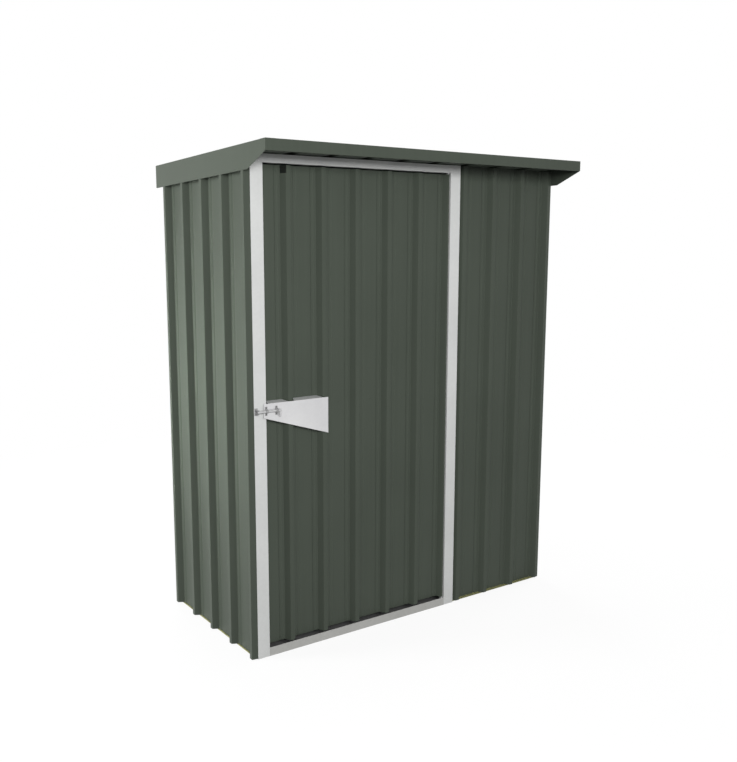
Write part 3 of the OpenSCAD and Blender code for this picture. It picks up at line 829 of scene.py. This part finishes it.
# Where each flange starts and stops: at the plate, at the crests' face and at the pans.
flange_ends = [
    (flange_left, flange_left, flange_left,
     rib_foot + over_web, rib_foot + over_web_at_crests, rib_foot - beside_web),
    (rib_side + off_rib, rib_side + off_rib_at_crests, rib_side + web_run + beside_web,
     second_crest - beside_crest, second_crest - beside_crest, second_foot - beside_web),
]
bm = bmesh.new()
edge_x = [plate_left, flange_ends[0][0], flange_ends[0][3], flange_ends[1][0],
          flange_ends[1][3], plate_right]
top_edge = [bm.verts.new((x, plate_face, plate_top)) for x in edge_x]
foot_left = bm.verts.new((plate_left, plate_face, plate_top - narrow))
foot_right = bm.verts.new((plate_right, plate_face, plate_top - wide))
bm.faces.new([foot_left, foot_right] + top_edge[::-1])
for first, ends in ((1, flange_ends[0]), (3, flange_ends[1])):
    near_left, near_right = top_edge[first], top_edge[first + 1]
    for y, step in ((crest_face, 1), (pan_face, 2)):
        height = plate_top + flange_rise * (y - plate_face) / (pan_face - plate_face)
        far_left = bm.verts.new((ends[step], y, height))
        far_right = bm.verts.new((ends[3 + step], y, height))
        bm.faces.new([near_left, near_right, far_right, far_left])
        near_left, near_right = far_left, far_right
plate_mesh = bpy.data.meshes.new("latch_plate_folded")
for face in bm.faces:
    face.smooth = True
bm.to_mesh(plate_mesh)
bm.free()
latch_plate = bpy.data.objects.new("latch_plate_folded", plate_mesh)
scene.collection.objects.link(latch_plate)
plate_mesh.materials.append(bright_zinc)
shaped(latch_plate, Matrix.Identity(4), Vector((0, -1, 0.2)), thickness=plate_t)
rounded = latch_plate.modifiers.new("rounded edges", "BEVEL")
rounded.width, rounded.segments, rounded.limit_method = 0.8 * MM, 3, "ANGLE"
rounded.angle_limit = math.radians(50)
latch_plate.modifiers.move(2, 1)
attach(latch_plate, "door")
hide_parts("latch_plate")

# ---------------------------------------------------------------------------------------------
# Slide bolt: a zinc-plated steel rod, bored at its nose, that runs in two strap guides on the
# plate and drops a bent handle behind them. The keeper on the jamb has two open cheeks.
rod_zinc = zinc_look("drawn zinc rod", (0.50, 0.50, 0.505), (0.64, 0.64, 0.64), 0.12, 0.36, 0.4)
# The guides and keeper take a darker copy of the zinc plate: painted shade and painted dark
# reflections on these small parts.
zinc_with_painted_shade = zinc_look("zinc plate darkened for painted shade", (0.30, 0.30, 0.305), (0.44, 0.44, 0.44), 0.15, 0.42, 0.4)
# The guide rivets are near black: dark steel heads, with painted shade of the dark spots round them
# in that colour.
rivet_steel_and_painted_shade = zinc_look("dark rivet steel", (0.10, 0.10, 0.10), (0.20, 0.20, 0.20), 0.15, 0.45, 0.4)
bolt_low, bolt_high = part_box("slide_bolt")
rod_r, handle_r = 5 * MM, 4 * MM
rod_z = bolt_high.z - rod_r
rod_y = (bolt_low.y + bolt_high.y) / 2
rod_left, rod_right = bolt_low.x, bolt_high.x


def spun(bm, stations, start, along, steps=24):
    """A round bar through (distance, radius) stations, closed at both ends."""
    along = Vector(along).normalized()
    side = along.orthogonal().normalized()
    other = along.cross(side)
    rings = []
    for distance, radius in stations:
        centre = Vector(start) + along * distance
        if radius == 0:
            rings.append([bm.verts.new(centre)])
            continue
        rings.append([bm.verts.new(centre + radius * (math.cos(2 * math.pi * i / steps) * side
                                                      + math.sin(2 * math.pi * i / steps) * other))
                      for i in range(steps)])
    for a, b in zip(rings, rings[1:]):
        for i in range(steps):
            j = (i + 1) % steps
            corners = [a[i % len(a)], b[i % len(b)], b[j % len(b)], a[j % len(a)]]
            unique = list(dict.fromkeys(corners))
            if len(unique) > 2:
                bm.faces.new(unique)


bm = bmesh.new()
bore_r, bore_depth = 3.4 * MM, 9 * MM
bolt_length = rod_right - rod_left
spun(bm, [(bore_depth, 0), (bore_depth, bore_r), (0.6 * MM, bore_r), (0, bore_r + 0.4 * MM),
          (0, rod_r - 0.7 * MM), (0.8 * MM, rod_r), (bolt_length - 1.2 * MM, rod_r),
          (bolt_length - 0.3 * MM, rod_r - 0.9 * MM), (bolt_length, rod_r - 1.8 * MM),
          (bolt_length, 0)], (rod_left, rod_y, rod_z), (1, 0, 0))
handle_drop = rod_z - bolt_low.z
spun(bm, [(0, 0), (0, handle_r), (handle_drop - 2 * MM, handle_r),
          (handle_drop - 0.5 * MM, handle_r - 1 * MM), (handle_drop, handle_r - 2.4 * MM),
          (handle_drop, 0)], (rod_right - rod_r, rod_y, rod_z), (0, 0, -1))
bmesh.ops.recalc_face_normals(bm, faces=bm.faces)
for face in bm.faces:
    face.smooth = True
bolt_mesh = bpy.data.meshes.new("slide_bolt_rod")
bm.to_mesh(bolt_mesh)
bm.free()
bolt_mesh.materials.append(rod_zinc)
bolt = bpy.data.objects.new("slide_bolt_rod", bolt_mesh)
scene.collection.objects.link(bolt)
bolt.modifiers.new("clean shading", "WEIGHTED_NORMAL").keep_sharp = False
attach(bolt, "bolt")
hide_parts("slide_bolt")

guide_w, guide_t, guide_inner, guide_reach = 9 * MM, 1.5 * MM, 5.6 * MM, 16.5 * MM
guide_outer, arch_steps, rivet_offset = guide_inner + guide_t, 12, 12.2 * MM
guide_low, guide_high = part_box("bolt_guides")
guide_starts = (guide_low.x, guide_high.x - guide_w)
back_of_strap = plate_face - guide_t
strap_points = [(guide_reach, back_of_strap), (guide_outer, back_of_strap)]
for i in range(arch_steps + 1):
    angle = math.pi * i / arch_steps
    strap_points.append((guide_outer * math.cos(angle), rod_y - guide_outer * math.sin(angle)))
strap_points += [(-guide_outer, back_of_strap), (-guide_reach, back_of_strap)]
guides = bmesh.new()
for start in guide_starts:
    rows = [[guides.verts.new((x, y, rod_z + z)) for z, y in strap_points]
            for x in (start, start + guide_w)]
    for i in range(len(strap_points) - 1):
        guides.faces.new([rows[0][i], rows[0][i + 1], rows[1][i + 1], rows[1][i]])
for face in guides.faces:
    face.smooth = True
guide_mesh = bpy.data.meshes.new("bolt_guide_straps")
guides.to_mesh(guide_mesh)
guides.free()
guide_mesh.materials.append(zinc_with_painted_shade)
guide = bpy.data.objects.new("bolt_guide_straps", guide_mesh)
scene.collection.objects.link(guide)
shaped(guide, Matrix.Identity(4), Vector((0, -1, 0)), thickness=guide_t)
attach(guide, "door")
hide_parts("bolt_guides")
heads = [((start + guide_w / 2, back_of_strap, rod_z + side * rivet_offset), (0, -1, 0))
         for start in guide_starts for side in (-1, 1)]
fixed("guide_rivets", "door", heads, rivet_steel_and_painted_shade,
      dict(POP_RIVET, Head_radius=2.4 * MM, Top_radius=1.3 * MM, Washer_radius=2.8 * MM))
finished("bolt_keeper", "keeper_cheeks", 0.5 * MM, zinc_with_painted_shade)

# ---------------------------------------------------------------------------------------------
# The bounds of this model are measured, as those of the CAD model were above.
low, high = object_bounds()
